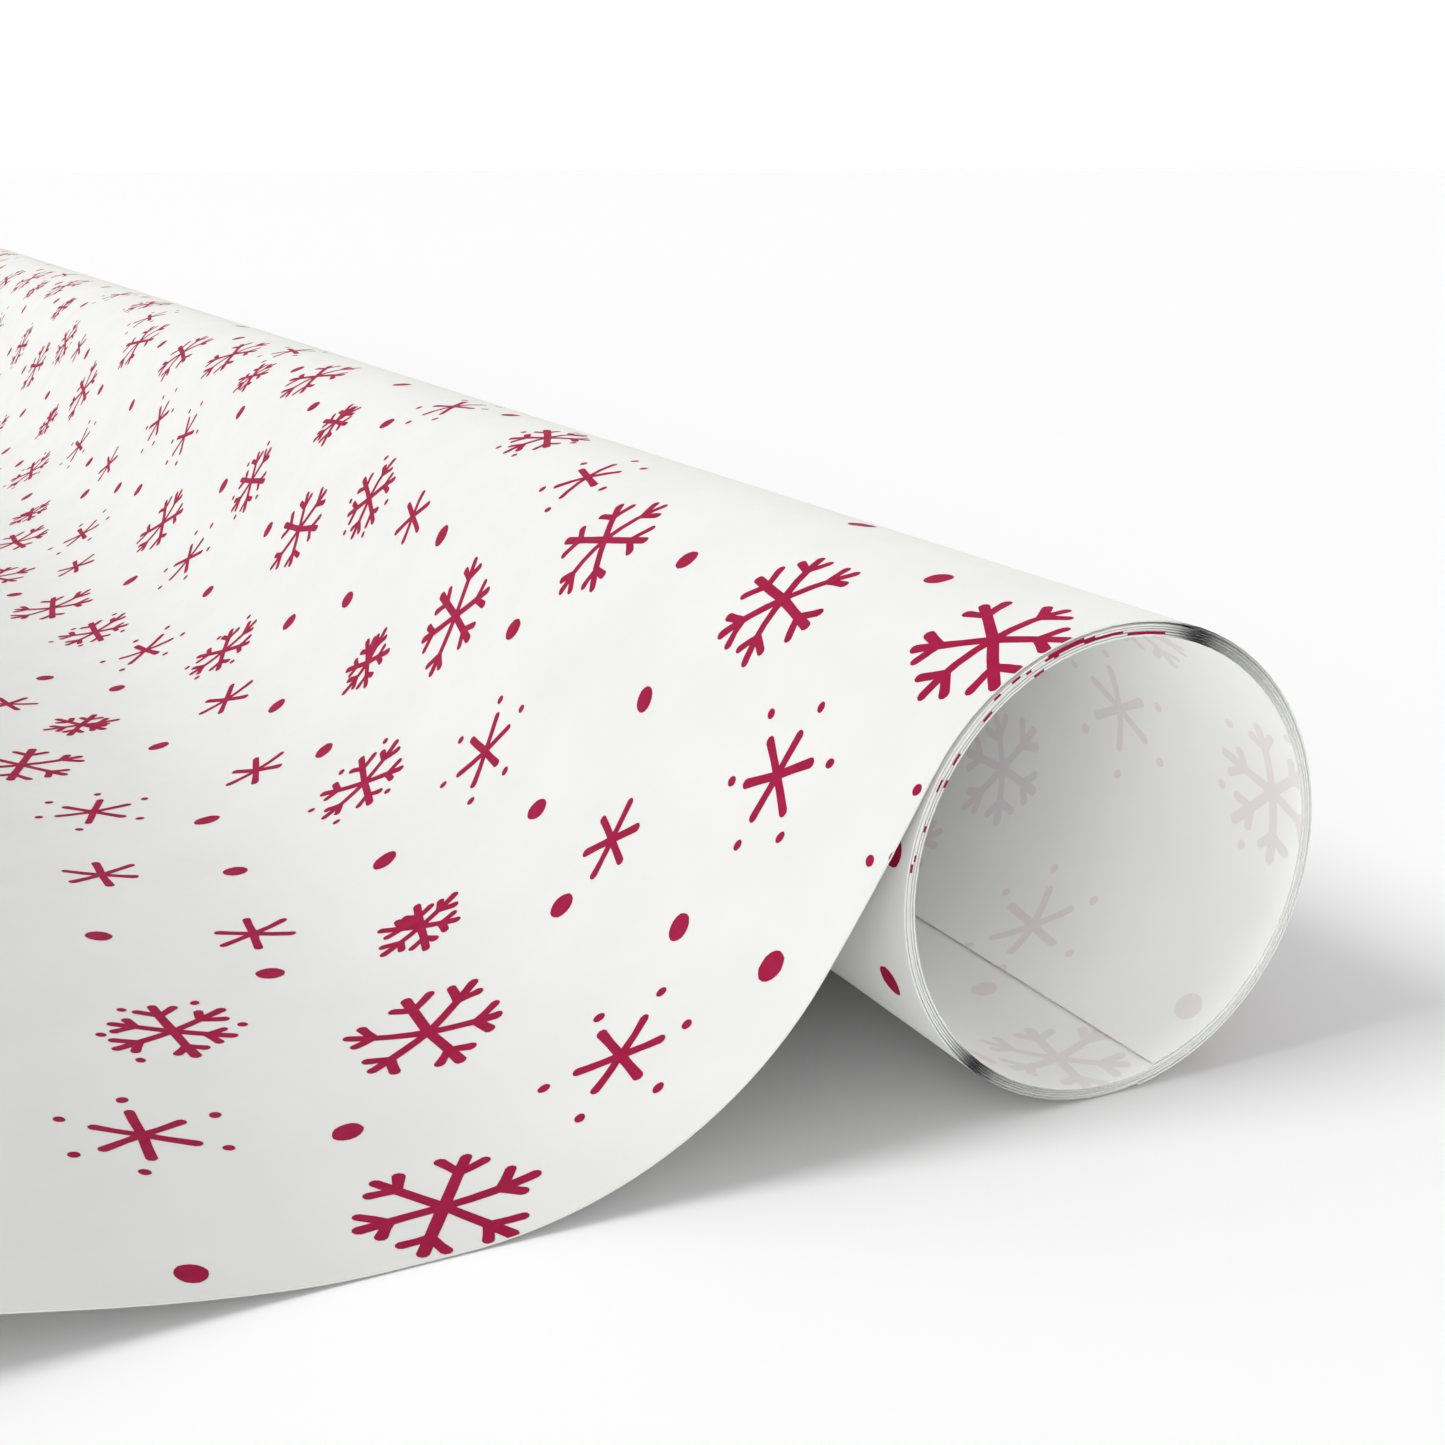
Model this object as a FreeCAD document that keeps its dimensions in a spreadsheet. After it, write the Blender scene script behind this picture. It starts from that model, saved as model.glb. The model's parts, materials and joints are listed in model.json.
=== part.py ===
import FreeCAD, Part
import math
import os
import Sketcher

# A coreless roll of printed wrapping paper: one sheet, wound about five and a half turns, whose
# free end drapes off the top of the coil on to the table.
# Everything is drawn across the roll (Y to the right, Z up) and padded along X, the roll's axis.
# The sheet is walked from its inner end outwards, as a strip of arcs and straight runs that meet
# tangentially. Its white face is the one walked; its printed face lies one paper thickness away.

os.makedirs("parts", exist_ok=True)
doc = FreeCAD.newDocument("wrapping_paper_roll")

# ---------------------------------------------------------------- driving dimensions
DIMENSIONS = [
    ("sheet_width", 762.0),         # along the roll: the common 30 inch width
    ("roll_radius", 20.0),          # printed face of the outermost lap
    ("paper", 0.12),                # thickness of the paper
    ("wrap_gap", 0.08),             # air between one wrap and the next
    ("turns", 5.0),                 # wraps of the coil inside the outermost lap
    ("seam_angle", 15.0),           # where each turn of the coil starts, from +Y towards +Z
    ("inner_lap_sweep", 90.0),      # the innermost stretch, whose edge is free
    ("last_turn_sweep", 265.0),     # the coil's outermost turn stops under the roll
    ("outer_lap_sweep", 230.0),     # the lap that holds the coil and feeds the free sheet
    ("seam_gap_angle", 0.15),       # cut between stretches that move apart
    ("fold_gap", 0.05),             # the same cut at the two lifting folds
    ("shoulder_radius", 200.0),     # drape: nearly straight where it leaves the coil
    ("shoulder_sweep", 5.0),
    ("foot_run", 5.0),              # flat on the table
    ("toe_radius", 60.0),           # lifting stretch: starts to rise
    ("toe_sweep", 7.0),
    ("rise_radius", 140.0),
    ("rise_sweep", 6.0),
    ("arch_radius", 312.0),         # then arches over, and back down to the table
    ("near_arch_sweep", 7.5),       # how much of the arch belongs to the lifting stretch
]

sheet = doc.addObject("Spreadsheet::Sheet", "Sizes")
for row, (alias, value) in enumerate(DIMENSIONS, start=1):
    sheet.set(f"A{row}", alias)
    sheet.set(f"B{row}", str(value))
    sheet.setAlias(f"B{row}", alias)
doc.recompute()


def size(alias):
    return float(sheet.get(alias))


PAPER = size("paper")
PITCH = PAPER + size("wrap_gap")
TURNS = int(size("turns"))
SEAM = math.radians(size("seam_angle"))

# The coil is a spiral of half turns. Their centres are half a pitch apart, either side of the
# coil's axis, so each half turn starts exactly where the one before it ends.
CENTRE_SHIFT = PITCH / 4
LAP_WHITE = size("roll_radius") - PAPER
LAST_WHITE = LAP_WHITE - PAPER - size("wrap_gap") - 2 * CENTRE_SHIFT
LAST_WHITE_TEXT = "Sizes.roll_radius - 2 * Sizes.paper - Sizes.wrap_gap - (Sizes.paper + Sizes.wrap_gap) / 2"
AXIS_HEIGHT = LAST_WHITE + PAPER + 2 * CENTRE_SHIFT - CENTRE_SHIFT * math.sin(SEAM)
MOST_RISE = PAPER / 4       # the free sheet's arcs stay close to their chords, next to its thickness


class Strip:
    """One stretch of the sheet: its white face and printed face, walked from the inner end outwards."""

    def __init__(self, y, z, heading):
        self.y = y
        self.z = z
        self.heading = heading      # direction of travel, radians from +Y towards +Z
        self.spans = []             # (white edge, printed edge, radius expressions or None)
        self.start = (self.point(0), self.point(PAPER))
        self.length = 0.0

    def point(self, offset):
        """A point of the section, this far to the right of the direction of travel."""
        return FreeCAD.Vector(self.y + offset * math.sin(self.heading), self.z - offset * math.cos(self.heading), 0)

    def bend(self, radius, sweep, expression, printed_outside):
        """An arc of the white face's radius. It turns left where the printed face is outside the bend, else right."""
        turn = 1 if printed_outside else -1
        centre = self.point(-turn * radius)
        first = self.heading - turn * math.pi / 2
        last = first + turn * sweep
        printed_radius = radius + turn * PAPER
        low, high = min(first, last), max(first, last)
        white = Part.ArcOfCircle(Part.Circle(centre, FreeCAD.Vector(0, 0, 1), radius), low, high)
        printed = Part.ArcOfCircle(Part.Circle(centre, FreeCAD.Vector(0, 0, 1), printed_radius), low, high)
        sign = "+" if printed_outside else "-"
        texts = (expression, f"{expression} {sign} Sizes.paper") if expression else None
        self.spans.append((white, printed, texts, turn))
        self.y = centre.x + radius * math.cos(last)
        self.z = centre.y + radius * math.sin(last)
        self.heading += turn * sweep
        self.length += (radius + turn * PAPER / 2) * sweep
        return self

    def long_bend(self, radius, sweep, expression, printed_outside):
        """A bend drawn as equal arcs, each of which rises no more than MOST_RISE above its chord."""
        arcs = math.ceil(sweep / (2 * math.acos(1 - MOST_RISE / radius)))
        for _ in range(arcs):
            self.bend(radius, sweep / arcs, expression, printed_outside)
        return self

    def run(self, distance):
        """A straight run."""
        here, here_printed = self.point(0), self.point(PAPER)
        self.y += distance * math.cos(self.heading)
        self.z += distance * math.sin(self.heading)
        white = Part.LineSegment(here, self.point(0))
        printed = Part.LineSegment(here_printed, self.point(PAPER))
        self.spans.append((white, printed, None, 1))
        self.length += distance
        return self


def on_coil(angle, radius, shift):
    """A strip that starts at this angle round the coil's axis, on a circle whose centre is shifted along the seam."""
    y = shift * math.cos(SEAM) + radius * math.cos(angle)
    z = AXIS_HEIGHT + shift * math.sin(SEAM) + radius * math.sin(angle)
    return Strip(y, z, angle + math.pi / 2)


def make_sheet_body(name, strip):
    """A body with the strip's outline as a sketch, padded to the sheet's width either side of the middle."""
    body = doc.addObject("PartDesign::Body", name)
    body.Label = name
    plane = next(f for f in body.Origin.OriginFeatures if f.Role == "YZ_Plane")
    sketch = body.newObject("Sketcher::SketchObject", name + "_section")
    sketch.AttachmentSupport = (plane, [""])
    sketch.MapMode = "FlatFace"

    white, printed = [], []
    for white_edge, printed_edge, radii, turn in strip.spans:
        white.append((sketch.addGeometry(white_edge, False), turn))
        printed.append((sketch.addGeometry(printed_edge, False), turn))
        if radii:
            for (index, _), value, text in zip((white[-1], printed[-1]), (white_edge, printed_edge), radii):
                number = sketch.addConstraint(Sketcher.Constraint("Radius", index, value.Radius))
                sketch.setExpression(f"Constraints[{number}]", text)

    # an arc that turns left runs from its first end to its second; one that turns right, back again
    def ends(edge):
        index, turn = edge
        return (index, 1, 2) if turn == 1 else (index, 2, 1)

    for chain in (white, printed):
        for before, after in zip(chain, chain[1:]):
            first, _, out = ends(before)
            second, into, _ = ends(after)
            sketch.addConstraint(Sketcher.Constraint("Coincident", first, out, second, into))
    finish = (strip.point(0), strip.point(PAPER))
    for (from_point, to_point), chain_end in ((strip.start, 0), (finish, -1)):
        cut = sketch.addGeometry(Part.LineSegment(from_point, to_point), False)
        side = 1 if chain_end == 0 else 2
        white_index = ends(white[chain_end])
        printed_index = ends(printed[chain_end])
        sketch.addConstraint(Sketcher.Constraint("Coincident", cut, 1, white_index[0], white_index[side]))
        sketch.addConstraint(Sketcher.Constraint("Coincident", cut, 2, printed_index[0], printed_index[side]))
        number = sketch.addConstraint(Sketcher.Constraint("Distance", cut, PAPER))
        sketch.setExpression(f"Constraints[{number}]", "Sizes.paper")

    pad = body.newObject("PartDesign::Pad", name + "_pad")
    pad.Profile = sketch
    pad.Midplane = True
    pad.setExpression("Length", "Sizes.sheet_width")
    body.Tip = pad
    return body


# ---------------------------------------------------------------- the coil
SEAM_GAP = math.radians(size("seam_gap_angle"))


def half_turn_radius(turn, second_half):
    """White-face radius of one half of a turn, as a number and as a spreadsheet expression."""
    wraps_outside = TURNS - turn
    step = 2 * CENTRE_SHIFT if second_half else 0.0
    text = f"{LAST_WHITE_TEXT} - {wraps_outside} * (Sizes.paper + Sizes.wrap_gap)"
    if second_half:
        text += " + (Sizes.paper + Sizes.wrap_gap) / 2"
    return LAST_WHITE - wraps_outside * PITCH + step, text


def make_inner_lap():
    """The innermost stretch, up to the first turn. Its edge is the sheet's inner end."""
    sweep = math.radians(size("inner_lap_sweep"))
    radius, text = half_turn_radius(0, True)
    strip = on_coil(SEAM - sweep, radius, CENTRE_SHIFT)
    strip.bend(radius, sweep, text, True)
    return strip


def make_turn(turn):
    """One turn of the coil: a half turn, then another half a pitch further out."""
    second_sweep = math.pi
    if turn == TURNS:
        second_sweep = math.radians(size("last_turn_sweep")) - math.pi
    inner, inner_text = half_turn_radius(turn, False)
    outer, outer_text = half_turn_radius(turn, True)
    strip = on_coil(SEAM + SEAM_GAP, inner, -CENTRE_SHIFT)
    strip.bend(inner, math.pi - SEAM_GAP, inner_text, True)
    strip.bend(outer, second_sweep, outer_text, True)
    return strip


# ---------------------------------------------------------------- the outermost lap and the free sheet
LEVEL = math.pi                     # heading of the sheet where it lies flat, travelling towards -Y


def make_outer_lap():
    """The lap that the coil turns in, from under the roll, over its top, to where the sheet leaves it."""
    sweep = math.radians(size("outer_lap_sweep")) - SEAM_GAP
    start = SEAM + math.radians(size("last_turn_sweep")) - 2 * math.pi + SEAM_GAP
    strip = on_coil(start, LAP_WHITE, 0.0)
    strip.bend(LAP_WHITE, sweep, "Sizes.roll_radius - Sizes.paper", True)
    return strip


def make_drape(before):
    """From the coil down to the table. The second bend has the radius that lands the sheet flat on it."""
    strip = Strip(before.y, before.z, before.heading)
    strip.long_bend(size("shoulder_radius"), math.radians(size("shoulder_sweep")), "Sizes.shoulder_radius", False)
    sweep = strip.heading - LEVEL
    strip.long_bend(strip.z / (1 - math.cos(sweep)), sweep, None, False)
    return strip


def make_table_stretch(before):
    """The short stretch that lies flat, where the free sheet folds up when it is lifted."""
    return Strip(before.y, before.z, before.heading).run(size("foot_run"))


def make_lift_stretch(before):
    """Rises off the table in two gentle bends, and starts the arch."""
    strip = Strip(before.y - size("fold_gap"), before.z, before.heading)
    strip.long_bend(size("toe_radius"), math.radians(size("toe_sweep")), "Sizes.toe_radius", False)
    strip.long_bend(size("rise_radius"), math.radians(size("rise_sweep")), "Sizes.rise_radius", False)
    strip.long_bend(size("arch_radius"), math.radians(size("near_arch_sweep")), "Sizes.arch_radius", True)
    return strip


def make_edge_stretch(before):
    """The rest of the arch, down to the free edge, which touches the table."""
    gap = size("fold_gap")
    strip = Strip(before.y + gap * math.cos(before.heading), before.z + gap * math.sin(before.heading), before.heading)
    arch = size("arch_radius")
    climb = LEVEL - strip.heading
    top = strip.z + arch * (1 - math.cos(climb))
    strip.long_bend(arch, climb + math.acos(1 - top / arch), "Sizes.arch_radius", True)
    return strip


outer_lap = make_outer_lap()
drape = make_drape(outer_lap)
table_stretch = make_table_stretch(drape)
lift_stretch = make_lift_stretch(table_stretch)
edge_stretch = make_edge_stretch(lift_stretch)

stretches = {"inner_lap": make_inner_lap()}
for number in range(1, TURNS + 1):
    stretches[f"turn_{number}"] = make_turn(number)
stretches.update(outer_lap=outer_lap, drape=drape, table_stretch=table_stretch)
stretches.update(lift_stretch=lift_stretch, edge_stretch=edge_stretch)

# ---------------------------------------------------------------- placement, checks and export
bodies = [make_sheet_body(name, strip) for name, strip in stretches.items()]

# the origin is under the middle of the whole thing, on the table
free_edge = edge_stretch.point(0).x
MIDDLE = (free_edge + size("roll_radius")) / 2
for body in bodies:
    body.Placement = FreeCAD.Placement(FreeCAD.Vector(0, -MIDDLE, 0), FreeCAD.Rotation())
doc.recompute()

for item in doc.Objects:
    if "Invalid" in item.State or "Error" in item.State:
        raise RuntimeError(f"{item.Label} failed: {item.State}")
for body in bodies:
    if body.Shape.isNull() or not body.Shape.isValid():
        raise RuntimeError(f"{body.Label} has no valid shape")
    body.Shape.exportStep(f"parts/{body.Label}.step")

print("sheet length", round(sum(strip.length for strip in stretches.values()), 1))
print("coil axis at y, z", round(-MIDDLE, 3), round(AXIS_HEIGHT, 3))
folds = {"table fold": table_stretch.point(PAPER), "edge fold": lift_stretch.point(PAPER)}
folds["inner lap fold"] = stretches["inner_lap"].point(0)
for name, point in folds.items():
    print(name, "at y, z", round(point.x - MIDDLE, 3), round(point.y, 3))
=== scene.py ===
import json
import math
import random

import bpy
import numpy as np
from mathutils import Matrix, Vector
from mathutils.geometry import delaunay_2d_cdt


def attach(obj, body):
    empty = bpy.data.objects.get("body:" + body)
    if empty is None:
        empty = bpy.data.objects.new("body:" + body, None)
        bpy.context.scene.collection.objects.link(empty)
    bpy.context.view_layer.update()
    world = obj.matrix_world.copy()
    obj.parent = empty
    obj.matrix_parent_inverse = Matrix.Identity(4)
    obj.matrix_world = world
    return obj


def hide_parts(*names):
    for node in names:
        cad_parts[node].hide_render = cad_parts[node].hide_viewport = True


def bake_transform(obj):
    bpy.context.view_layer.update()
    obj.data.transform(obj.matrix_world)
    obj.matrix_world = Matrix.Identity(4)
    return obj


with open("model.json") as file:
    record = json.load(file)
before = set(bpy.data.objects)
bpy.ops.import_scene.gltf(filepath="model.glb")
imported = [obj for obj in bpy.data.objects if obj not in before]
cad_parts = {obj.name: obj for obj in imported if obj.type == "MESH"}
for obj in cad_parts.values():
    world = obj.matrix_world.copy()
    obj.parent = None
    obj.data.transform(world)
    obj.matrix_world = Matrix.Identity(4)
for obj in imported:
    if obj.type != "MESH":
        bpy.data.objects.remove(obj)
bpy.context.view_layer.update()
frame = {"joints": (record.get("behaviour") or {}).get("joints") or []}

# A coreless roll of printed wrapping paper. One sheet is wound up, and its free end drapes off the
# roll on to the table. The sheet is walked from its inner end to its free edge, as rows across the
# sheet; each stretch of it becomes a thin closed solid, with its print as a separate layer of ink.
# Lengths here are in millimetres, and MM turns them into the scene's metres.

MM = 0.001

# ---------------------------------------------------------------- sizes
JOINTS = {joint["name"]: joint for joint in frame["joints"]}
AXIS_Y, AXIS_Z = (value / MM for value in JOINTS["coil_turn"]["pos_m"][1:])
WIDTH = 762.0
ROLL_RADIUS = 20.0
PAPER = 0.12
PITCH = 0.20
SEAM = 15                   # degrees round the axis, from +Y towards +Z, where the turns start
TURNS = 5
INNER_EDGE = -75            # where the sheet's inner edge lies
LAST_TURN_END = 1720        # where the coil's last turn ends and the outermost lap starts
LEAVES = 1950               # where the sheet leaves the roll, after 5.6 turns in all
COIL_STEP = 5               # degrees between rows on the coil
STEP_OUT = 0.204            # the outermost lap lies this far outside the end of the coil's last turn
LAP_WHITE = ROLL_RADIUS - PAPER
UNEVEN = (0.004, 1.31, 0.6)         # height, waves per turn and start of the wraps' small waves
SPRUNG_IN = (0.08, 30)      # how far the inner end leans into the hollow, and over how many degrees
STAND_OFF = (0.22, 55)      # how far the lap stands off the coil before it leaves, over so many degrees
FADE = 26                   # the stand-off is gone this far down the free sheet

# the free sheet, from the roll down to the table and on to its free edge
SHOULDER = (200.0, 5.0)     # radius and degrees of the first bend
FOOT_RUN = 5.0              # length that lies flat on the table
TOE = (60.0, 7.0)           # then it bends up off the table, tightly and then more gently
RISE = (140.0, 6.0)
ARCH_RADIUS = 312.0         # and arches over
NEAR_ARCH = 7.5             # degrees of the arch that belong to the lift stretch

# two waves across the width of the arch (height, length per radian, start), none at the near end
LONG_WAVE = (0.9, 121, 0.4)
SHORT_WAVE = (0.5, 57)
WAVES_GROW = 90             # they reach their full height this far from the near end
LONG_SKEW = (0.05, 61)      # the wraps' near edges are not quite in line: height, length per radian
SHORT_SKEW = (0.02, 17)

INK_GAP = 0.03              # the ink layer stands this far off the paper
WOUND_INK_GAP = 0.012       # and this far on the roll, where the wraps lie close
COLUMNS = 33                # points across the sheet's width in each row


# ---------------------------------------------------------------- the sheet's section
def smooth(value):
    """Nought to one, easing in and out."""
    value = min(max(value, 0.0), 1.0)
    return value * value * (3 - 2 * value)


def wrap_radius(angle, on_lap):
    """White-face radius at this many degrees along the winding: a spiral, then a round outermost lap."""
    inside = 0 if on_lap else STEP_OUT + PITCH * (LAST_TURN_END - angle) / 360
    height, waves, start = UNEVEN
    uneven = height * math.sin(waves * math.radians(angle) + start)
    depth, sweep = SPRUNG_IN
    sprung_in = depth * smooth((INNER_EDGE + sweep - angle) / sweep) ** 1.5
    height, sweep = STAND_OFF
    stands_off = height * smooth((angle - LEAVES + sweep) / sweep)
    return LAP_WHITE - inside + uneven - sprung_in + stands_off


class Walk:
    """Rows across the sheet, each a point of its white face in the section and a direction of travel."""

    def __init__(self):
        self.points = []
        self.headings = []
        self.marks = {}

    def mark(self, name):
        self.marks[name] = len(self.points) - 1

    def add(self, y, z, heading):
        self.points.append((y, z))
        self.headings.append(heading)

    def wrap(self, angle, on_lap):
        """A row on the coil, or on the outermost lap round it."""
        radius, turn = wrap_radius(angle, on_lap), math.radians(angle)
        self.add(AXIS_Y + radius * math.cos(turn), AXIS_Z + radius * math.sin(turn), turn + math.pi / 2)

    def bend(self, radius, degrees, steps, turn):
        """An arc that turns left (turn 1) or right (turn -1)."""
        y, z = self.points[-1]
        heading = self.headings[-1]
        centre_y = y - turn * radius * math.sin(heading)
        centre_z = z + turn * radius * math.cos(heading)
        for step in range(1, steps + 1):
            now = heading + turn * math.radians(degrees) * step / steps
            self.add(centre_y + turn * radius * math.sin(now), centre_z - turn * radius * math.cos(now), now)

    def run(self, distance, steps):
        """A straight run along the present heading."""
        y, z = self.points[-1]
        heading = self.headings[-1]
        for step in range(1, steps + 1):
            far = distance * step / steps
            self.add(y + far * math.cos(heading), z + far * math.sin(heading), heading)


walk = Walk()
for angle in range(INNER_EDGE, LEAVES + 1, COIL_STEP):
    walk.wrap(angle, on_lap=angle > LAST_TURN_END)
    walk.mark(angle)
    if angle == LAST_TURN_END:
        walk.wrap(angle, on_lap=True)
        walk.mark("lap_start")

# the free sheet starts from the true circle; the lap's stand-off is added back later, and fades out
leave = math.radians(LEAVES % 360)
on_circle = Vector((AXIS_Y + LAP_WHITE * math.cos(leave), AXIS_Z + LAP_WHITE * math.sin(leave)))
stand_off = Vector(walk.points[-1]) - on_circle
walk.points[-1] = tuple(on_circle)
walk.headings[-1] = leave + math.pi / 2
first_free = len(walk.points) - 1
walk.bend(*SHOULDER, steps=5, turn=-1)

# one more bend brings it down flat on the table
landing_sweep = math.degrees(walk.headings[-1]) - 180
landing_radius = walk.points[-1][1] / (1 - math.cos(math.radians(landing_sweep)))
walk.bend(landing_radius, landing_sweep, steps=22, turn=-1)
walk.run(FOOT_RUN, steps=3)
walk.mark("table_fold")
walk.bend(*TOE, steps=4, turn=-1)
walk.bend(*RISE, steps=5, turn=-1)
walk.bend(ARCH_RADIUS, NEAR_ARCH, steps=8, turn=1)
walk.mark("edge_fold")

# the arch goes over its top and comes down to the table
climb = math.pi - walk.headings[-1]
top = walk.points[-1][1] + ARCH_RADIUS * (1 - math.cos(climb))
descent = math.acos(1 - top / ARCH_RADIUS)
walk.bend(ARCH_RADIUS, math.degrees(climb + descent), steps=22, turn=1)
walk.mark("free_edge")

section = np.array(walk.points)
steps = np.hypot(*np.diff(section, axis=0).T)
travel = np.concatenate([[0.0], np.cumsum(steps)])      # distance along the sheet at each row
free_travel = travel - travel[first_free]
fade = np.array([1 - smooth(distance / FADE) if distance >= 0 else 0.0 for distance in free_travel])
section += fade[:, None] * np.array(stand_off)[None, :]
headings = np.unwrap(np.array(walk.headings))
right_of_travel = np.stack([np.sin(headings), -np.cos(headings)], axis=1)

# ---------------------------------------------------------------- the whole sheet as a grid
# rows run along the travel and columns run across the roll, from the near end (+X) to the far end
across = np.linspace(0.0, WIDTH, COLUMNS)
fold_travel = travel[walk.marks["table_fold"]]
edge_travel = travel[-1]
along_arch = np.clip((travel - fold_travel) / (edge_travel - fold_travel), 0, 1)
ripple = np.sin(math.pi * along_arch) ** 2
height, length, start = LONG_WAVE
sway = height * np.sin(across / length + start) - height * math.sin(start)
height, length = SHORT_WAVE
sway += height * np.sin(across / length)
near_end_held = np.clip(across / WAVES_GROW, 0, 1)
lift = ripple[:, None] * (sway * near_end_held)[None, :]
skew = sum(height * np.sin(travel / length) for height, length in (LONG_SKEW, SHORT_SKEW))

white = np.empty((len(travel), COLUMNS, 3))
white[:, :, 0] = WIDTH / 2 - across[None, :] + skew[:, None]
white[:, :, 1] = section[:, None, 0] + lift * right_of_travel[:, None, 0]
white[:, :, 2] = section[:, None, 1] + lift * right_of_travel[:, None, 1]
normals = np.cross(np.gradient(white, axis=0), np.gradient(white, axis=1))
normals /= np.linalg.norm(normals, axis=2, keepdims=True)
normals *= np.sign(np.einsum("ijk,ik->ij", normals[:, :, 1:], right_of_travel))[:, :, None]
printed = white + PAPER * normals


# ---------------------------------------------------------------- materials
def new_material(name):
    material = bpy.data.materials.new(name)
    material.use_nodes = True
    tree = material.node_tree
    return material, tree, tree.nodes["Principled BSDF"]


def add_node(tree, kind, **values):
    node = tree.nodes.new(kind)
    for key, value in values.items():
        if hasattr(node, key):
            setattr(node, key, value)
        else:
            node.inputs[key.replace("_", " ")].default_value = value
    return node


def mottled(tree, coordinates, scale, detail, low, high, output=None):
    """Noise in object space, at this scale and detail, mapped between two colours or two numbers."""
    noise = add_node(tree, "ShaderNodeTexNoise", Scale=scale, Detail=detail)
    tree.links.new(coordinates, noise.inputs["Vector"])
    ramp = tree.nodes.new("ShaderNodeValToRGB")
    ramp.color_ramp.elements[0].position = 0.3
    ramp.color_ramp.elements[1].position = 0.7
    for stop, value in zip(ramp.color_ramp.elements, (low, high)):
        colour = value if isinstance(value, tuple) else (value, value, value)
        stop.color = colour + (1.0,)
    tree.links.new(noise.outputs["Fac"], ramp.inputs["Fac"])
    if output is not None:
        tree.links.new(ramp.outputs["Color"], output)
    return ramp


# each tone is the darker and the lighter colour that a surface's mottling runs between
FACE_TONE = ((0.638, 0.644, 0.629), (0.662, 0.667, 0.651))
BACK_TONE = ((0.89, 0.892, 0.885), (0.92, 0.922, 0.915))
# painted shade: the free sheet's white back and its print showing through are darker copies of the roll's,
# for the same paper where it lies in full light
PAINTED_SHADE_BACK_TONE = ((0.66, 0.665, 0.655), (0.69, 0.695, 0.685))
INK_TONE = ((0.272, 0.004, 0.038), (0.318, 0.007, 0.050))
SHOW_THROUGH_TONE = ((0.82, 0.776, 0.786), (0.85, 0.806, 0.816))
PAINTED_SHADE_SHOW_THROUGH_TONE = ((0.585, 0.545, 0.552), (0.61, 0.57, 0.577))
EDGE_TONE = ((0.67, 0.675, 0.665), (0.73, 0.735, 0.725))
FIBRE_SCALE = 2600

# painted shade on the coil's end, two dark places round the axis: middle, spread below it and above it
# (degrees round the axis), and depth
PAINTED_SHADE_SPOTS = ((70, 7.5, 6, 0.96), (60, 24, 14, 0.5), (-132, 6.5, 7, 0.96), (-122, 14, 34, 0.45))


def add_fibres(tree, surface, coordinates, detail, strength, depth):
    """A fine felt of fibres, as bump; its depth is in metres."""
    fibres = add_node(tree, "ShaderNodeTexNoise", Scale=FIBRE_SCALE, Detail=detail)
    tree.links.new(coordinates, fibres.inputs["Vector"])
    bump = add_node(tree, "ShaderNodeBump", Strength=strength, Distance=depth)
    tree.links.new(fibres.outputs["Fac"], bump.inputs["Height"])
    tree.links.new(bump.outputs["Normal"], surface.inputs["Normal"])


def paper_material(name, tone):
    """Uncoated paper: faint cloudiness in the pulp, and a fine felt of fibres."""
    material, tree, surface = new_material(name)
    coordinates = tree.nodes.new("ShaderNodeTexCoord").outputs["Object"]
    mottled(tree, coordinates, 90, 4, *tone, surface.inputs["Base Color"])
    mottled(tree, coordinates, 600, 2, 0.62, 0.78, surface.inputs["Roughness"])
    add_fibres(tree, surface, coordinates, detail=5, strength=0.12, depth=0.00004)
    surface.inputs["Specular IOR Level"].default_value = 0.3
    surface.inputs["Diffuse Roughness"].default_value = 1.0
    return material


def ink_material():
    """Flat printing ink with slight unevenness in its density."""
    material, tree, surface = new_material("crimson_ink")
    coordinates = tree.nodes.new("ShaderNodeTexCoord").outputs["Object"]
    mottled(tree, coordinates, 500, 3, *INK_TONE, surface.inputs["Base Color"])
    mottled(tree, coordinates, 900, 2, 0.5, 0.66, surface.inputs["Roughness"])
    add_fibres(tree, surface, coordinates, detail=4, strength=0.08, depth=0.00003)
    surface.inputs["Specular IOR Level"].default_value = 0.06
    surface.inputs["Diffuse Roughness"].default_value = 1.0
    return material


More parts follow.
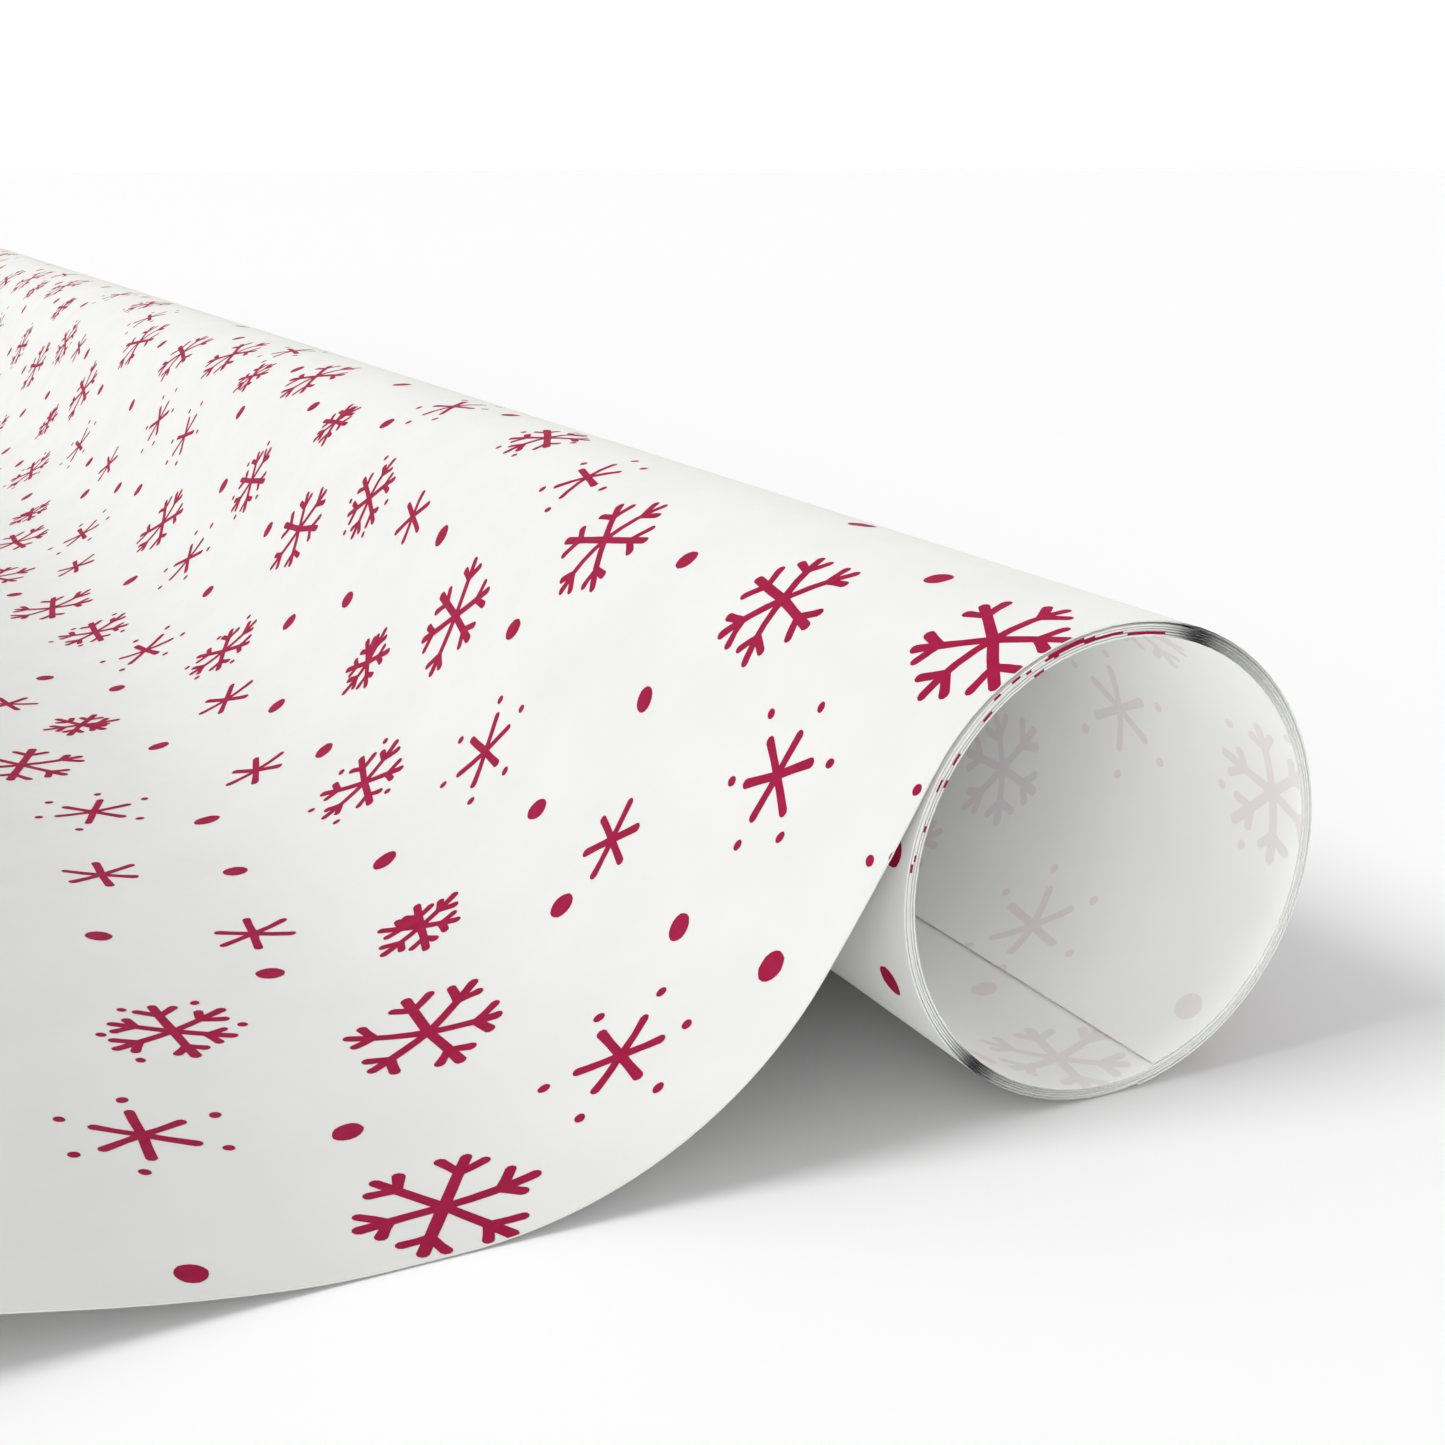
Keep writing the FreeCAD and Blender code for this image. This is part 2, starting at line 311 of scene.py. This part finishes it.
def cut_edge_material():
    """The cut edges on the roll: plain pulp, with painted shade that turns it nearly black at two places on
    the coil's end.
    """
    material, tree, surface = new_material("cut_edge")
    coordinates = tree.nodes.new("ShaderNodeTexCoord").outputs["Object"]
    split = add_node(tree, "ShaderNodeSeparateXYZ")
    tree.links.new(coordinates, split.inputs["Vector"])

    def calculate(operation, *values):
        node = add_node(tree, "ShaderNodeMath", operation=operation)
        for slot, value in enumerate(values):
            if isinstance(value, (int, float)):
                node.inputs[slot].default_value = value
            else:
                tree.links.new(value, node.inputs[slot])
        return node.outputs["Value"]

    across = calculate("SUBTRACT", split.outputs["Y"], AXIS_Y * MM)
    above = calculate("SUBTRACT", split.outputs["Z"], AXIS_Z * MM)
    angle = calculate("MULTIPLY", calculate("ARCTAN2", above, across), 180 / math.pi)
    shade = 1.0
    # painted shade: the pulp's colour is darkened round each of the two places
    for middle, before, after, depth in PAINTED_SHADE_SPOTS:
        away = calculate("SUBTRACT", angle, middle)
        is_above = calculate("GREATER_THAN", away, 0.0)
        reach = calculate("ADD", before, calculate("MULTIPLY", is_above, after - before))
        squared = calculate("POWER", calculate("DIVIDE", away, reach), 2.0)
        hump = calculate("EXPONENT", calculate("MULTIPLY", squared, -1.0))
        kept = calculate("SUBTRACT", 1.0, calculate("MULTIPLY", hump, depth))
        shade = calculate("MULTIPLY", shade, kept)
    pulp = mottled(tree, coordinates, 1500, 3, *EDGE_TONE)
    darkened = add_node(tree, "ShaderNodeVectorMath", operation="SCALE")
    tree.links.new(pulp.outputs["Color"], darkened.inputs["Vector"])
    tree.links.new(shade, darkened.inputs["Scale"])
    tree.links.new(darkened.outputs["Vector"], surface.inputs["Base Color"])
    mottled(tree, coordinates, 600, 2, 0.7, 0.85, surface.inputs["Roughness"])
    surface.inputs["Specular IOR Level"].default_value = 0.1
    surface.inputs["Diffuse Roughness"].default_value = 1.0
    return material


FACE_MATERIAL = paper_material("off_white_face", FACE_TONE)
BACK_MATERIAL = paper_material("white_back", BACK_TONE)
# painted shade: darker copies of the white back and of the print showing through, for the free sheet in full
# light
PAINTED_SHADE_BACK = paper_material("white_back_with_painted_shade", PAINTED_SHADE_BACK_TONE)
INK_MATERIAL = ink_material()
SHOW_THROUGH = paper_material("print_showing_through", SHOW_THROUGH_TONE)
PAINTED_SHADE_SHOW_THROUGH = paper_material("print_showing_through_with_painted_shade", PAINTED_SHADE_SHOW_THROUGH_TONE)
EDGE_MATERIAL = cut_edge_material()


# ---------------------------------------------------------------- meshes
def make_object(name, points, faces, corner_normals, materials, slots=None):
    """A smooth-shaded mesh in metres, with its corners' normals given, and a material slot for each face."""
    mesh = bpy.data.meshes.new(name)
    mesh.from_pydata((np.asarray(points) * MM).tolist(), [], faces)
    for material in materials:
        mesh.materials.append(material)
    if slots:
        mesh.polygons.foreach_set("material_index", slots)
    mesh.shade_smooth()
    mesh.normals_split_custom_set(corner_normals)
    item = bpy.data.objects.new(name, mesh)
    bpy.context.scene.collection.objects.link(item)
    return item


FACE_SLOT, BACK_SLOT, EDGE_SLOT = 0, 1, 2


def paper_stretch(name, first, last, back_look, edge_look):
    """The sheet between two rows: its printed face, its white face and its four cut edges."""
    rows = last - first + 1
    count = rows * COLUMNS
    points = np.concatenate([printed[first:last + 1].reshape(-1, 3), white[first:last + 1].reshape(-1, 3)])
    facing = normals[first:last + 1].reshape(-1, 3)
    faces, corner_normals, slots = [], [], []

    def at(row, column):
        return row * COLUMNS + column

    def add(face, directions, slot):
        faces.append(face)
        corner_normals.extend(directions)
        slots.append(slot)

    for row in range(rows - 1):
        for column in range(COLUMNS - 1):
            quad = [at(row, column), at(row, column + 1), at(row + 1, column + 1), at(row + 1, column)]
            add(quad, [facing[i] for i in quad], FACE_SLOT)
            back = [i + count for i in reversed(quad)]
            add(back, [-facing[i - count] for i in back], BACK_SLOT)
    for column, side in ((0, Vector((1, 0, 0))), (COLUMNS - 1, Vector((-1, 0, 0)))):
        for row in range(rows - 1):
            a, b = at(row, column), at(row + 1, column)
            quad = [a, b, b + count, a + count] if column == 0 else [b, a, a + count, b + count]
            add(quad, [side] * 4, EDGE_SLOT)
    for row in (0, rows - 1):
        for column in range(COLUMNS - 1):
            a, b = at(row, column), at(row, column + 1)
            quad = [a, b, b + count, a + count] if row == rows - 1 else [b, a, a + count, b + count]
            corners = [Vector(points[i]) for i in quad[:3]]
            outward = (corners[1] - corners[0]).cross(corners[2] - corners[1]).normalized()
            add(quad, [outward] * 4, EDGE_SLOT)
    return make_object(name, points, faces, corner_normals, [FACE_MATERIAL, back_look, edge_look], slots)


# ---------------------------------------------------------------- the print
# Hand-drawn-looking flakes, each its own drawing, laid out on a tile that repeats over the sheet.
# A place is (distance from the near edge, distance along the sheet from the tile's first row), in mm,
# and for a flake or a star also the lean of its first arm, in degrees.
TILE_ACROSS = 250
TILE_ALONG = 104
WOUND_SHIFT = -215.5        # the repeats wound into the roll sit this much to the side
BIG_FLAKES = [(6, 33, 28), (6.5, 95.5, 30), (33.5, 87.5, 0), (34, 37, 50), (71.5, 38.5, 17),
              (95.5, 53.5, 46), (133.5, 107.5, 42), (162, 54.5, 8), (206, 31, 22), (223, 90, 51),
              (229, 66, 35)]
DOTTED_FLAKES = [(45.5, 107, 3), (89, 75, 46), (115, 26.5, 35), (141, 46, 36), (157, 75, 30),
                 (195, 52, 12), (199, 87, 55)]
SMALL_FLAKES = [(52.5, 81.5, 47), (112.5, 64, 30), (150, 97.5, 30), (174, 38, 5), (231, 36, 20)]
DOTTED_STARS = [(14, 77, 0), (19, 51, 28), (25.5, 113.5, 0), (70.5, 64, 0), (90.5, 31.5, 48),
                (111.5, 102.5, 41), (150.5, 26.5, 20), (178, 83, 10), (203, 68, 33), (239, 26, 52),
                (246, 51, 17)]
STARS = [(38, 63.5, 43), (65.5, 95, 57), (89, 105.5, 2), (111, 83, 40), (123, 45.5, 45),
         (139.5, 79.5, 30), (165, 105, 12), (245, 82, 50)]
DOTS = [(3.5, 114.5), (6.5, 64), (20.5, 66), (21.5, 28), (21, 98.5), (38, 71), (45.5, 21.5),
        (45.5, 51), (53.5, 65.5), (54, 37), (55, 96), (69.5, 79.5), (70.5, 109), (79.5, 51.5),
        (83.5, 92.5), (101.5, 91.5), (104, 75.5), (111, 46), (126, 75.5), (130, 59), (133.5, 90.5),
        (137.5, 23), (145, 66), (156.5, 35), (165, 90), (175, 57), (178, 98), (179, 25), (183, 70),
        (189, 37), (208, 55), (217, 77), (218, 31), (220, 43), (239, 94)]
TILE_START = 1820           # degrees along the winding: on the outermost lap, on its way up
FIRST_ROW = travel[walk.marks[TILE_START]]

ROUND_END = (-82, -42, 0, 42, 82)       # where a round end's points lie, in degrees from straight on
BLOT_POINTS = 16
PLAIN_ARM = 3               # the arm of a dotted flake that has no dot beside it

draw = random.Random(24)


def stroke(start, end, width):
    """A pen stroke: a round-ended bar whose sides waver a little."""
    along = (end - start).normalized()
    side = Vector((-along.y, along.x))
    middle = start.lerp(end, draw.uniform(0.4, 0.6)) + side * draw.uniform(-0.06, 0.06) * width
    ends = (start, 0.5 * width * draw.uniform(0.88, 1.06)), (end, 0.5 * width * draw.uniform(0.92, 1.12))
    waist = 0.5 * width * draw.uniform(0.86, 1.0)
    outline = []
    for (centre, half), way in zip(ends, (-1, 1)):
        for turn in ROUND_END:
            swing = math.radians(turn)
            outline.append(centre + way * half * (along * math.cos(swing) + side * math.sin(swing)))
        outline.append(middle + way * side * waist)
    return outline


def blot(centre, radius):
    """A small round blot of ink, a little out of round."""
    lean = Matrix.Rotation(draw.uniform(0, math.pi), 2)
    long, short = radius * draw.uniform(1.0, 1.16), radius * draw.uniform(0.88, 1.0)
    outline = []
    for point in range(BLOT_POINTS):
        turn = point * math.tau / BLOT_POINTS
        reach = Vector((long * math.cos(turn), short * math.sin(turn))) * draw.uniform(0.97, 1.03)
        outline.append(centre + lean @ reach)
    return outline


def direction(degrees):
    """The way an arm points, as a flat vector one millimetre long."""
    return Vector((math.cos(math.radians(degrees)), math.sin(math.radians(degrees))))


def draw_arms(reach, width, fork_from, fork_length, lean):
    """Six arms and their tips; each arm has a fork of two short barbs if fork_length is above zero."""
    centre = Vector((0, 0))
    shapes = []
    tips = []
    for arm in range(6):
        angle = lean + 60 * arm + draw.uniform(-5, 5)
        length = reach * draw.uniform(0.91, 1.07)
        tip = direction(angle) * length
        tips.append((angle, length))
        shapes.append(stroke(centre, tip, width))
        if fork_length:
            root = tip * (fork_from + draw.uniform(-0.05, 0.04))
            for way in (-1, 1):
                barb = direction(angle + way * draw.uniform(42, 56)) * fork_length
                shapes.append(stroke(root, root + barb * draw.uniform(0.82, 1.15), width * 0.95))
    return shapes, tips


def big_flake(lean):
    return draw_arms(reach=6.9, width=1.04, fork_from=0.66, fork_length=2.3, lean=lean)[0]


def middling_flake(lean):
    return draw_arms(reach=5.9, width=1.0, fork_from=0.64, fork_length=2.1, lean=lean)[0]


def dotted_flake(lean):
    shapes, tips = draw_arms(reach=5.8, width=0.96, fork_from=0.62, fork_length=1.9, lean=lean)
    for arm, (angle, length) in enumerate(tips):
        if arm != PLAIN_ARM:
            shapes.append(blot(direction(angle + draw.uniform(22, 34)) * length * 1.12, 0.45))
    return shapes


def small_flake(lean):
    return draw_arms(reach=4.5, width=0.92, fork_from=0.52, fork_length=1.6, lean=lean)[0]


def star(lean):
    return draw_arms(reach=3.75, width=0.92, fork_from=0, fork_length=0, lean=lean)[0]


def dotted_star(lean):
    shapes, tips = draw_arms(reach=4.1, width=0.92, fork_from=0, fork_length=0, lean=lean)
    for angle, _ in tips:
        shapes.append(blot(direction(angle + draw.uniform(-8, 8)) * draw.uniform(6.2, 6.9), 0.5))
    return shapes


def dot():
    return [blot(Vector((0, 0)), 1.32)]


def joined(shapes):
    """The triangles of all of a drawing's shapes together, without overlaps."""
    points = [point for shape in shapes for point in shape]
    loops, first = [], 0
    for shape in shapes:
        loops.append(list(range(first, first + len(shape))))
        first += len(shape)
    inside_only, tolerance = 1, 1e-5
    corners, _, faces = delaunay_2d_cdt(points, [], loops, inside_only, tolerance)[:3]
    return np.array([[corners[i][:] for i in face] for face in faces])


MOTIFS = ((big_flake, BIG_FLAKES), (dotted_flake, DOTTED_FLAKES), (small_flake, SMALL_FLAKES),
          (dotted_star, DOTTED_STARS), (star, STARS), (dot, DOTS))
tile = []
for drawing, places in MOTIFS:
    for far, along, *lean in places:
        tile.append(joined(drawing(*lean)) + np.array([far, along], float))

# What shows through inside the roll, repeated every HOLLOW_WIDTH across: a drawing, its distance from
# the near edge, degrees along the winding, and its lean.
HOLLOW_WIDTH = 62
HOLLOW_PRINT = [(middling_flake, 42, -18.5, 4), (dotted_star, 24, 15, 36), (dotted_star, 25, -57, 8),
                (dotted_flake, 3.5, 8, 23), (dot, 20.5, 275.5), (dot, 3, -55),
                (middling_flake, 5.8, 268, 15), (middling_flake, 50, -60, 8), (middling_flake, 13, 58, 20),
                (dot, 34, 38), (dotted_star, 9, 88, 15), (middling_flake, 36, 84, 40), (dot, 23, 62),
                (star, 52, 56, 25), (dotted_flake, 22, 120, 10), (dot, 9, 128), (star, 44, 132, 33),
                (dotted_star, 33, 168, 50), (middling_flake, 10, 170, 28), (dot, 50, 172),
                (middling_flake, 45, 214, 2), (star, 9, 218, 16), (dot, 26, 205),
                (dotted_flake, 29, 238, 30), (dot, 5, 242), (star, 44, 262, 44)]
winding = np.arange(INNER_EDGE, LEAVES + 1, COIL_STEP)
hollow_tile = []
for drawing, far, angle, *lean in HOLLOW_PRINT:
    along = np.interp(angle, winding, travel[:len(winding)])
    hollow_tile.append(joined(drawing(*lean)) + np.array([far, along]))

# here and there the print just reaches a wrap's cut edge: where on the winding, and for how many degrees
EDGE_MARKS = [(440, 11), (812, 11), (1180, 14), (1543, 10), (1561, 2.5), (1567, 2), (1198, 1.5),
              (830, 1.5), (115, 3), (491, 3), (503, 3), (149.5, 2), (870, 3), (521, 1.5), (888, 1.5),
              (1250, 2)]


def cut_at(triangles, lines, axis):
    """The same triangles, cut along the lines where this coordinate has these values."""
    margin = 1e-6
    done = []
    while len(triangles):
        values = triangles[:, :, axis]
        low, high = values.min(axis=1), values.max(axis=1)
        at = np.searchsorted(lines, low + margin)
        line = np.append(lines, np.inf)[at]
        crossed = line < high - margin
        done.append(triangles[~crossed])
        triangles, line = triangles[crossed], line[crossed]
        if not len(triangles):
            break
        order = np.argsort(triangles[:, :, axis], axis=1)
        a, b, c = (triangles[np.arange(len(triangles)), order[:, corner]] for corner in range(3))

        def on_line(start, end):
            share = (line - start[:, axis]) / np.maximum(end[:, axis] - start[:, axis], 1e-12)
            return start + share[:, None] * (end - start)

        split_high = b[:, axis] > line
        p = np.where(split_high[:, None], on_line(a, b), on_line(b, c))
        q = on_line(a, c)
        triangles = np.concatenate([
            np.where(split_high[:, None, None], np.stack([a, p, q], 1), np.stack([a, b, q], 1)),
            np.where(split_high[:, None, None], np.stack([p, b, c], 1), np.stack([b, p, q], 1)),
            np.stack([p, c, q], 1),
        ])
    return np.concatenate(done)


def area_of(triangles):
    """Signed areas of flat triangles."""
    one, two = triangles[:, 1] - triangles[:, 0], triangles[:, 2] - triangles[:, 0]
    return 0.5 * (one[:, 0] * two[:, 1] - one[:, 1] * two[:, 0])


def tile_repeats(first, last, far_limit):
    """The tile's motifs that fall between two rows, out to far_limit mm from the near edge."""
    start, end = travel[first], travel[last]
    first_tile = math.floor((start - FIRST_ROW) / TILE_ALONG) - 2
    last_tile = math.ceil((end - FIRST_ROW) / TILE_ALONG)
    found = []
    for along in range(first_tile, last_tile + 1):
        for sideways in range(-1, math.ceil(far_limit / TILE_ACROSS) + 2):
            aside = sideways * TILE_ACROSS + (WOUND_SHIFT if along < 0 else 0)
            shift = np.array([aside, FIRST_ROW + along * TILE_ALONG])
            for motif in tile:
                low = motif.min(axis=(0, 1)) + shift
                high = motif.max(axis=(0, 1)) + shift
                if low[0] < far_limit and high[0] > 0 and low[1] < end and high[1] > start:
                    found.append(motif + shift)
    return np.concatenate(found)


def hollow_repeats():
    """The hollow's own layout, all the way across the sheet."""
    repeats = np.arange(math.ceil(WIDTH / HOLLOW_WIDTH)) * HOLLOW_WIDTH
    return np.concatenate([motif + np.array([far, 0.0]) for motif in hollow_tile for far in repeats])


def trimmed(triangles, first, last, far_limit):
    """Flat triangles (across, along) cut to the sheet between two rows, and cut where its rows are."""
    start, end = travel[first], travel[last]
    triangles = cut_at(triangles, np.array([0.0, far_limit]), 0)
    triangles = cut_at(triangles, travel[first:last + 1], 1)
    middle = triangles.mean(axis=1)
    inside = (middle[:, 0] > 0) & (middle[:, 0] < far_limit) & (middle[:, 1] > start) & (middle[:, 1] < end)
    triangles = triangles[inside]
    size = area_of(triangles)
    triangles[size < 0] = triangles[size < 0][:, ::-1]
    return triangles[np.abs(size) > 1e-7]


def on_sheet(places, grid):
    """Values of a grid of the sheet at flat places (across, along), straight between its points."""
    just_inside = 0.999999
    column = np.clip(places[:, 0] / (WIDTH / (COLUMNS - 1)), 0, COLUMNS - 2 + just_inside)
    row = np.interp(places[:, 1], travel, np.arange(len(travel)))
    row = np.clip(row, 0, len(travel) - 2 + just_inside)
    j, i = column.astype(int), row.astype(int)
    u, v = (column - j)[:, None], (row - i)[:, None]
    top_side = grid[i, j] * (1 - u) + grid[i, j + 1] * u
    low_side = grid[i + 1, j] * (1 - u) + grid[i + 1, j + 1] * u
    return top_side * (1 - v) + low_side * v


MARK_STEP = 2               # degrees between the points of a mark


def edge_marks(first, last):
    """Blots of ink on the near cut edge between two rows, as thick as the wraps are pitched."""
    points, faces = [], []
    for angle, degrees in EDGE_MARKS:
        start, end = np.interp((angle, angle + degrees), winding, travel[:len(winding)])
        if start < travel[first] or end > travel[last]:
            continue
        parts = math.ceil(degrees / MARK_STEP)
        places = np.column_stack([np.zeros(parts + 1), np.linspace(start, end, parts + 1)])
        inked, bare = on_sheet(places, printed), on_sheet(places, white)
        spread = (PITCH - PAPER) / 2 * on_sheet(places, normals)
        inked, bare = inked + spread, bare - spread
        for step in range(parts):
            base = len(points)
            points.extend([inked[step], inked[step + 1], bare[step + 1], bare[step]])
            faces.append((base, base + 1, base + 2, base + 3))
    return np.array(points).reshape(-1, 3) + [WOUND_INK_GAP, 0, 0], faces


def ink_layer(name, triangles, first, last, material, stands_off, on_white=False):
    """Ink on one stretch's printed face, with its marks on the cut edge, or a ghost on the white face."""
    corners, index = np.unique(np.round(triangles.reshape(-1, 2), 5), axis=0, return_inverse=True)
    index = index.reshape(-1, 3)
    index = index[(index[:, 0] != index[:, 1]) & (index[:, 1] != index[:, 2]) & (index[:, 0] != index[:, 2])]
    facing = on_sheet(corners, normals)
    facing /= np.linalg.norm(facing, axis=1, keepdims=True)
    points = on_sheet(corners, white if on_white else printed)
    facing = -facing if on_white else facing
    points = points + stands_off * facing
    probe = np.cross(points[index[:, 1]] - points[index[:, 0]], points[index[:, 2]] - points[index[:, 0]])
    if np.einsum("ij,ij->i", probe, facing[index[:, 0]]).sum() < 0:
        index = index[:, ::-1]
    faces = index.tolist()
    corner_normals = list(facing[index.reshape(-1)])
    if not on_white:
        mark_points, mark_faces = edge_marks(first, last)
        faces += [[corner + len(points) for corner in face] for face in mark_faces]
        corner_normals += [Vector((1, 0, 0))] * (4 * len(mark_faces))
        points = np.concatenate([points, mark_points])
    return make_object(name, points, faces, corner_normals, [material])


# ---------------------------------------------------------------- the stretches and what they ride on
def ridge(angle, radius=ROLL_RADIUS):
    """The point at this angle round the roll's axis, in metres."""
    turn = math.radians(angle)
    return Vector((0, AXIS_Y + radius * math.cos(turn), AXIS_Z + radius * math.sin(turn))) * MM


def joint_place(name):
    """Where a joint of the frame lies, in metres."""
    return Vector(JOINTS[name]["pos_m"])


LAYER_BODIES = ["layer_1", "layer_2", "layer_3", "layer_4", "coil"]
EXPOSED = 14.0              # the inner turns' print ends this far in; they slide out by 12 at most
ROLL_LOOK = (BACK_MATERIAL, EDGE_MATERIAL, SHOW_THROUGH)
# painted shade: the free sheet takes the darker-painted copies of the back and of the show-through
FREE_LOOK = (PAINTED_SHADE_BACK, FACE_MATERIAL, PAINTED_SHADE_SHOW_THROUGH)


def add_stretch(name, nodes, start_mark, end_mark, ride=None, blend=None,
                printed_to=WIDTH, ghost=None, free=False):
    """Paper, ink and ghost of one stretch; a ghost is either the hollow's own layout or the tile's."""
    first, last = walk.marks[start_mark], walk.marks[end_mark]
    stands_off = INK_GAP if free else WOUND_INK_GAP
    print_here = trimmed(tile_repeats(first, last, printed_to), first, last, printed_to)
    back, edges, ghost_material = FREE_LOOK if free else ROLL_LOOK
    pieces = [paper_stretch("paper_" + name, first, last, back, edges),
              ink_layer("ink_" + name, print_here, first, last, INK_MATERIAL, stands_off)]
    if ghost:
        shown = hollow_repeats() if ghost == "hollow" else tile_repeats(first, last, WIDTH)
        shown = trimmed(shown, first, last, WIDTH)
        pieces.append(ink_layer("ghost_" + name, shown, first, last, ghost_material, stands_off,
                                on_white=True))
    for piece in pieces:
        if blend:
            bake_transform(piece)
        else:
            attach(piece, ride)
    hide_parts(*nodes)


# the roll: each turn's upper half rides on its layer's body, as does the outermost turn's lower half; the
# inner end and the other lower halves stay fixed in place
BEND_DONE = ridge(-25, radius=18.7)
add_stretch("inner_lap", ["inner_lap"], INNER_EDGE, SEAM, printed_to=EXPOSED, ghost="hollow",
            blend=("layer_1", "inner_end", joint_place("inner_flap"), BEND_DONE))
for number, body in enumerate(LAYER_BODIES, start=1):
    start = SEAM + 360 * (number - 1)
    outermost = number == TURNS
    shown = WIDTH if outermost else EXPOSED
    seen = "hollow" if number == 1 else None
    half = start + 180
    node = f"turn_{number}"
    add_stretch(f"{node}_over", [node], start, half, ride=body, printed_to=shown, ghost=seen)
    if outermost:
        add_stretch(f"{node}_under", [node], half, LAST_TURN_END, ride=body)
    else:
        between = (body, LAYER_BODIES[number], ridge(SEAM + 180), ridge(SEAM))
        add_stretch(f"{node}_under", [node], half, start + 360, blend=between, printed_to=shown, ghost=seen)
add_stretch("outer_lap", ["outer_lap"], "lap_start", LEAVES, ride="sheet")

# the free sheet: the drape keeps its shape on the sheet's body, and the two stretches beyond it stay fixed
# in place
add_stretch("drape", ["drape", "table_stretch"], LEAVES, "table_fold", ride="sheet", ghost="tile", free=True)
table_fold, edge_fold = joint_place("sheet_lift"), joint_place("edge_lift")
LIFT_BEND = Vector((0, -35, 4)) * MM
EDGE_BEND = Vector((0, -45, 0)) * MM
add_stretch("lift_stretch", ["lift_stretch"], "table_fold", "edge_fold", ghost="tile", free=True,
            blend=("sheet", "lift_part", table_fold, table_fold + LIFT_BEND))
add_stretch("edge_stretch", ["edge_stretch"], "edge_fold", "free_edge", ghost="tile", free=True,
            blend=("lift_part", "edge_part", edge_fold, edge_fold + EDGE_BEND))


# ---------------------------------------------------------------- table, light and camera
FLOOR_REACH = 6.0           # metres
FLOOR_LEVEL = -0.00015      # metres: just under the paper
FLOOR_TONE = (0.87, 0.87, 0.87, 1)

# strengths of the white all round: near the horizon, overhead, and what the pale wall adds
HORIZON = 1.02
OVERHEAD = 0.55
WALL = 2.5

# soft suns: the direction the light comes from, its width in degrees, and its strength
SUNS = {
    "window": ((-0.15, -1.0, 1.0), 24, 1.8),
    "back_window": ((-0.7, -0.6, 0.6), 70, 0.35),
    "front_fill": ((0.75, -0.66, 0.0), 50, 0.8),
}

CAMERA_PLACE = (6.014, -4.740, 3.733)           # from the table below the near end, in roll radii
CAMERA_LOOKS = (-0.86077, 0.42814, -0.27526)
LENS = 50.03


def make_floor():
    mesh = bpy.data.meshes.new("floor")
    signs = ((-1, -1), (1, -1), (1, 1), (-1, 1))
    mesh.from_pydata([(FLOOR_REACH * x, FLOOR_REACH * y, FLOOR_LEVEL) for x, y in signs], [], [(0, 1, 2, 3)])
    material, _, surface = new_material("pale_table")
    surface.inputs["Base Color"].default_value = FLOOR_TONE
    surface.inputs["Roughness"].default_value = 0.9
    surface.inputs["Specular IOR Level"].default_value = 0.1
    mesh.materials.append(material)
    floor = bpy.data.objects.new("floor", mesh)
    bpy.context.scene.collection.objects.link(floor)


def make_sun(name, towards_light, width, strength):
    """Soft light from far off: it comes from this direction, and is this many degrees wide."""
    data = bpy.data.lights.new(name, "SUN")
    data.angle = math.radians(width)
    data.energy = strength
    lamp = bpy.data.objects.new(name, data)
    lamp.rotation_euler = Vector(towards_light).to_track_quat("Z", "Y").to_euler()
    bpy.context.scene.collection.objects.link(lamp)


def make_world():
    """White all round, brightest near the horizon; a pale wall beyond the near end lights the hollow."""
    world = bpy.data.worlds.new("studio")
    world.use_nodes = True
    tree = world.node_tree
    coordinates = tree.nodes.new("ShaderNodeTexCoord")
    split = tree.nodes.new("ShaderNodeSeparateXYZ")
    tree.links.new(coordinates.outputs["Generated"], split.inputs["Vector"])

    def ramp(value, low, high, at_low, at_high):
        node = tree.nodes.new("ShaderNodeMapRange")
        node.interpolation_type = "SMOOTHSTEP"
        for key, number in (("From Min", low), ("From Max", high), ("To Min", at_low), ("To Max", at_high)):
            node.inputs[key].default_value = number
        tree.links.new(value, node.inputs["Value"])
        return node.outputs["Result"]

    def combine(operation, one, two):
        node = add_node(tree, "ShaderNodeMath", operation=operation)
        tree.links.new(one, node.inputs[0])
        tree.links.new(two, node.inputs[1])
        return node.outputs["Value"]

    sky = ramp(split.outputs["Z"], 0.1, 0.5, HORIZON, OVERHEAD)
    facing = ramp(split.outputs["X"], 0.5, 0.95, 0.0, WALL)
    low_down = ramp(split.outputs["Z"], 0.15, 0.55, 1.0, 0.0)
    to_one_side = ramp(split.outputs["Y"], -0.2, 0.5, 1.0, 0.4)
    wall = combine("MULTIPLY", combine("MULTIPLY", facing, low_down), to_one_side)
    tree.links.new(combine("ADD", sky, wall), tree.nodes["Background"].inputs["Strength"])
    tree.nodes["Background"].inputs["Color"].default_value = (1, 1, 1, 1)
    bpy.context.scene.world = world


def make_camera():
    """A 50 mm lens close to the near end of the roll, a little above it and to the free sheet's side."""
    near_end = Vector((WIDTH / 2, AXIS_Y, 0))
    place = near_end + Vector(CAMERA_PLACE) * ROLL_RADIUS
    data = bpy.data.cameras.new("camera")
    data.lens = LENS
    data.sensor_width = 36
    data.clip_start = 0.005
    camera = bpy.data.objects.new("camera", data)
    camera.location = place * MM
    camera.rotation_euler = Vector(CAMERA_LOOKS).to_track_quat("-Z", "Y").to_euler()
    bpy.context.scene.collection.objects.link(camera)
    bpy.context.scene.camera = camera


make_floor()
for name, values in SUNS.items():
    make_sun(name, *values)
make_world()
make_camera()
bpy.context.scene.view_settings.view_transform = "Standard"
